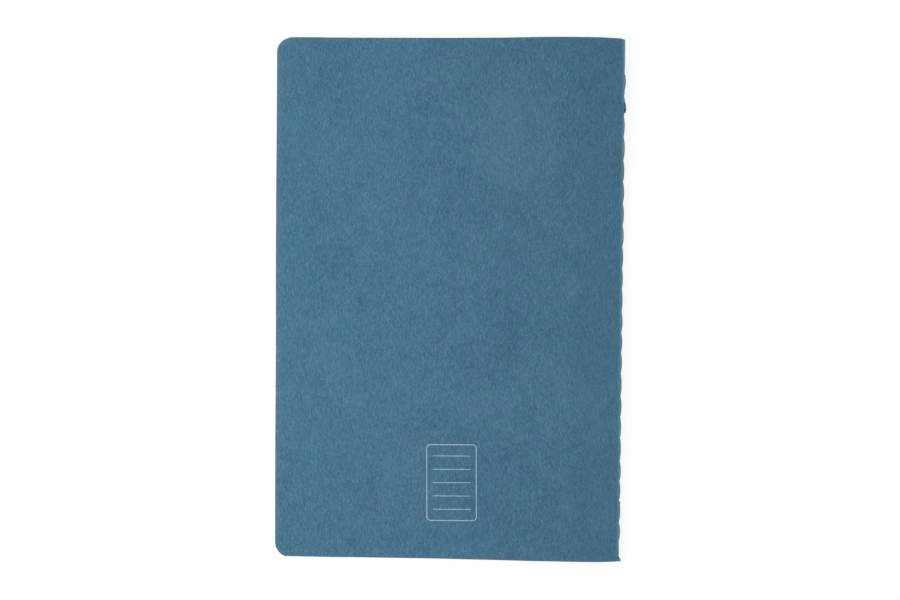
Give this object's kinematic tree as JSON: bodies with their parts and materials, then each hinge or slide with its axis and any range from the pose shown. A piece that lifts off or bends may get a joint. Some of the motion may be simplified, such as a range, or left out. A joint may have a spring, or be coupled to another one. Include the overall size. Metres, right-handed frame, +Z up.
{
  "type": "softcover notebook",
  "caption": "Softcover notebook in plain dyed card: folded sheets sewn with thread through the fold, square at the spine and rounded at the fore-edge, with ruled leaves that turn.",
  "frame": {"origin": "centre of the notebook's footprint, on the table under the front cover, with the closed notebook lying on its front cover", "axes": "+X from the fore-edge to the spine, +Y from the tail to the head, +Z up out of the back cover"},
  "size_m": [0.1398, 0.21, 0.0049],
  "materials": {
    "cover_card": "matte",
    "page_paper": "matte",
    "sewing_thread": "matte"
  },
  "bodies": {
    "front_cover": {"front_cover": "cover_card"},
    "sheet_01_front_leaf": {"sheet_01_front_leaf": "page_paper"},
    "sheet_02_front_leaf": {"sheet_02_front_leaf": "page_paper"},
    "sheet_03_front_leaf": {"sheet_03_front_leaf": "page_paper"},
    "sheet_04_front_leaf": {"sheet_04_front_leaf": "page_paper"},
    "sheet_05_front_leaf": {"sheet_05_front_leaf": "page_paper"},
    "sheet_06_front_leaf": {"sheet_06_front_leaf": "page_paper"},
    "sheet_07_front_leaf": {"sheet_07_front_leaf": "page_paper"},
    "sheet_08_front_leaf": {"sheet_08_front_leaf": "page_paper"},
    "sheet_09_front_leaf": {"sheet_09_front_leaf": "page_paper"},
    "sheet_10_front_leaf": {"sheet_10_front_leaf": "page_paper"},
    "sheet_11_front_leaf": {"sheet_11_front_leaf": "page_paper"},
    "sheet_12_front_leaf": {"sheet_12_front_leaf": "page_paper"},
    "sheet_13_front_leaf": {"sheet_13_front_leaf": "page_paper"},
    "sheet_14_front_leaf": {"sheet_14_front_leaf": "page_paper"},
    "sheet_15_front_leaf": {"sheet_15_front_leaf": "page_paper"},
    "sheet_16_front_leaf": {"sheet_16_front_leaf": "page_paper", "needle_thread": "sewing_thread", "bobbin_thread": "sewing_thread"},
    "sheet_16_back_leaf": {"sheet_16_back_leaf": "page_paper"},
    "sheet_15_back_leaf": {"sheet_15_back_leaf": "page_paper"},
    "sheet_14_back_leaf": {"sheet_14_back_leaf": "page_paper"},
    "sheet_13_back_leaf": {"sheet_13_back_leaf": "page_paper"},
    "sheet_12_back_leaf": {"sheet_12_back_leaf": "page_paper"},
    "sheet_11_back_leaf": {"sheet_11_back_leaf": "page_paper"},
    "sheet_10_back_leaf": {"sheet_10_back_leaf": "page_paper"},
    "sheet_09_back_leaf": {"sheet_09_back_leaf": "page_paper"},
    "sheet_08_back_leaf": {"sheet_08_back_leaf": "page_paper"},
    "sheet_07_back_leaf": {"sheet_07_back_leaf": "page_paper"},
    "sheet_06_back_leaf": {"sheet_06_back_leaf": "page_paper"},
    "sheet_05_back_leaf": {"sheet_05_back_leaf": "page_paper"},
    "sheet_04_back_leaf": {"sheet_04_back_leaf": "page_paper"},
    "sheet_03_back_leaf": {"sheet_03_back_leaf": "page_paper"},
    "sheet_02_back_leaf": {"sheet_02_back_leaf": "page_paper"},
    "sheet_01_back_leaf": {"sheet_01_back_leaf": "page_paper"},
    "back_cover": {"back_cover": "cover_card"}
  },
  "joints": [
    {"name": "back_cover_turn", "type": "hinge", "parent": "sheet_01_back_leaf", "child": "back_cover", "pos_m": [0.06957, 0, 0.00244], "axis": [0, 1, 0], "range_deg": [0, 180]},
    {"name": "centre_spread_open", "type": "hinge", "parent": "sheet_16_front_leaf", "child": "sheet_16_back_leaf", "pos_m": [0.06957, 0, 0.00244], "axis": [0, 1, 0], "range_deg": [0, 180]},
    {"name": "front_cover_open", "type": "hinge", "parent": "front_cover", "child": "sheet_01_front_leaf", "pos_m": [0.06957, 0, 0.00244], "axis": [0, 1, 0], "range_deg": [0, 180]},
    {"name": "sheet_02_front_leaf_turn", "type": "hinge", "parent": "sheet_01_front_leaf", "child": "sheet_02_front_leaf", "pos_m": [0.06957, 0, 0.00244], "axis": [0, 1, 0], "range_deg": [0, 180]},
    {"name": "sheet_03_front_leaf_turn", "type": "hinge", "parent": "sheet_02_front_leaf", "child": "sheet_03_front_leaf", "pos_m": [0.06957, 0, 0.00244], "axis": [0, 1, 0], "range_deg": [0, 180]},
    {"name": "sheet_04_front_leaf_turn", "type": "hinge", "parent": "sheet_03_front_leaf", "child": "sheet_04_front_leaf", "pos_m": [0.06957, 0, 0.00244], "axis": [0, 1, 0], "range_deg": [0, 180]},
    {"name": "sheet_05_front_leaf_turn", "type": "hinge", "parent": "sheet_04_front_leaf", "child": "sheet_05_front_leaf", "pos_m": [0.06957, 0, 0.00244], "axis": [0, 1, 0], "range_deg": [0, 180]},
    {"name": "sheet_06_front_leaf_turn", "type": "hinge", "parent": "sheet_05_front_leaf", "child": "sheet_06_front_leaf", "pos_m": [0.06957, 0, 0.00244], "axis": [0, 1, 0], "range_deg": [0, 180]},
    {"name": "sheet_07_front_leaf_turn", "type": "hinge", "parent": "sheet_06_front_leaf", "child": "sheet_07_front_leaf", "pos_m": [0.06957, 0, 0.00244], "axis": [0, 1, 0], "range_deg": [0, 180]},
    {"name": "sheet_08_front_leaf_turn", "type": "hinge", "parent": "sheet_07_front_leaf", "child": "sheet_08_front_leaf", "pos_m": [0.06957, 0, 0.00244], "axis": [0, 1, 0], "range_deg": [0, 180]},
    {"name": "sheet_09_front_leaf_turn", "type": "hinge", "parent": "sheet_08_front_leaf", "child": "sheet_09_front_leaf", "pos_m": [0.06957, 0, 0.00244], "axis": [0, 1, 0], "range_deg": [0, 180]},
    {"name": "sheet_10_front_leaf_turn", "type": "hinge", "parent": "sheet_09_front_leaf", "child": "sheet_10_front_leaf", "pos_m": [0.06957, 0, 0.00244], "axis": [0, 1, 0], "range_deg": [0, 180]},
    {"name": "sheet_11_front_leaf_turn", "type": "hinge", "parent": "sheet_10_front_leaf", "child": "sheet_11_front_leaf", "pos_m": [0.06957, 0, 0.00244], "axis": [0, 1, 0], "range_deg": [0, 180]},
    {"name": "sheet_12_front_leaf_turn", "type": "hinge", "parent": "sheet_11_front_leaf", "child": "sheet_12_front_leaf", "pos_m": [0.06957, 0, 0.00244], "axis": [0, 1, 0], "range_deg": [0, 180]},
    {"name": "sheet_13_front_leaf_turn", "type": "hinge", "parent": "sheet_12_front_leaf", "child": "sheet_13_front_leaf", "pos_m": [0.06957, 0, 0.00244], "axis": [0, 1, 0], "range_deg": [0, 180]},
    {"name": "sheet_14_front_leaf_turn", "type": "hinge", "parent": "sheet_13_front_leaf", "child": "sheet_14_front_leaf", "pos_m": [0.06957, 0, 0.00244], "axis": [0, 1, 0], "range_deg": [0, 180]},
    {"name": "sheet_15_front_leaf_turn", "type": "hinge", "parent": "sheet_14_front_leaf", "child": "sheet_15_front_leaf", "pos_m": [0.06957, 0, 0.00244], "axis": [0, 1, 0], "range_deg": [0, 180]},
    {"name": "sheet_16_front_leaf_turn", "type": "hinge", "parent": "sheet_15_front_leaf", "child": "sheet_16_front_leaf", "pos_m": [0.06957, 0, 0.00244], "axis": [0, 1, 0], "range_deg": [0, 180]},
    {"name": "sheet_15_back_leaf_turn", "type": "hinge", "parent": "sheet_16_back_leaf", "child": "sheet_15_back_leaf", "pos_m": [0.06957, 0, 0.00244], "axis": [0, 1, 0], "range_deg": [0, 180]},
    {"name": "sheet_14_back_leaf_turn", "type": "hinge", "parent": "sheet_15_back_leaf", "child": "sheet_14_back_leaf", "pos_m": [0.06957, 0, 0.00244], "axis": [0, 1, 0], "range_deg": [0, 180]},
    {"name": "sheet_13_back_leaf_turn", "type": "hinge", "parent": "sheet_14_back_leaf", "child": "sheet_13_back_leaf", "pos_m": [0.06957, 0, 0.00244], "axis": [0, 1, 0], "range_deg": [0, 180]},
    {"name": "sheet_12_back_leaf_turn", "type": "hinge", "parent": "sheet_13_back_leaf", "child": "sheet_12_back_leaf", "pos_m": [0.06957, 0, 0.00244], "axis": [0, 1, 0], "range_deg": [0, 180]},
    {"name": "sheet_11_back_leaf_turn", "type": "hinge", "parent": "sheet_12_back_leaf", "child": "sheet_11_back_leaf", "pos_m": [0.06957, 0, 0.00244], "axis": [0, 1, 0], "range_deg": [0, 180]},
    {"name": "sheet_10_back_leaf_turn", "type": "hinge", "parent": "sheet_11_back_leaf", "child": "sheet_10_back_leaf", "pos_m": [0.06957, 0, 0.00244], "axis": [0, 1, 0], "range_deg": [0, 180]},
    {"name": "sheet_09_back_leaf_turn", "type": "hinge", "parent": "sheet_10_back_leaf", "child": "sheet_09_back_leaf", "pos_m": [0.06957, 0, 0.00244], "axis": [0, 1, 0], "range_deg": [0, 180]},
    {"name": "sheet_08_back_leaf_turn", "type": "hinge", "parent": "sheet_09_back_leaf", "child": "sheet_08_back_leaf", "pos_m": [0.06957, 0, 0.00244], "axis": [0, 1, 0], "range_deg": [0, 180]},
    {"name": "sheet_07_back_leaf_turn", "type": "hinge", "parent": "sheet_08_back_leaf", "child": "sheet_07_back_leaf", "pos_m": [0.06957, 0, 0.00244], "axis": [0, 1, 0], "range_deg": [0, 180]},
    {"name": "sheet_06_back_leaf_turn", "type": "hinge", "parent": "sheet_07_back_leaf", "child": "sheet_06_back_leaf", "pos_m": [0.06957, 0, 0.00244], "axis": [0, 1, 0], "range_deg": [0, 180]},
    {"name": "sheet_05_back_leaf_turn", "type": "hinge", "parent": "sheet_06_back_leaf", "child": "sheet_05_back_leaf", "pos_m": [0.06957, 0, 0.00244], "axis": [0, 1, 0], "range_deg": [0, 180]},
    {"name": "sheet_04_back_leaf_turn", "type": "hinge", "parent": "sheet_05_back_leaf", "child": "sheet_04_back_leaf", "pos_m": [0.06957, 0, 0.00244], "axis": [0, 1, 0], "range_deg": [0, 180]},
    {"name": "sheet_03_back_leaf_turn", "type": "hinge", "parent": "sheet_04_back_leaf", "child": "sheet_03_back_leaf", "pos_m": [0.06957, 0, 0.00244], "axis": [0, 1, 0], "range_deg": [0, 180]},
    {"name": "sheet_02_back_leaf_turn", "type": "hinge", "parent": "sheet_03_back_leaf", "child": "sheet_02_back_leaf", "pos_m": [0.06957, 0, 0.00244], "axis": [0, 1, 0], "range_deg": [0, 180]},
    {"name": "sheet_01_back_leaf_turn", "type": "hinge", "parent": "sheet_02_back_leaf", "child": "sheet_01_back_leaf", "pos_m": [0.06957, 0, 0.00244], "axis": [0, 1, 0], "range_deg": [0, 180]}
  ]
}
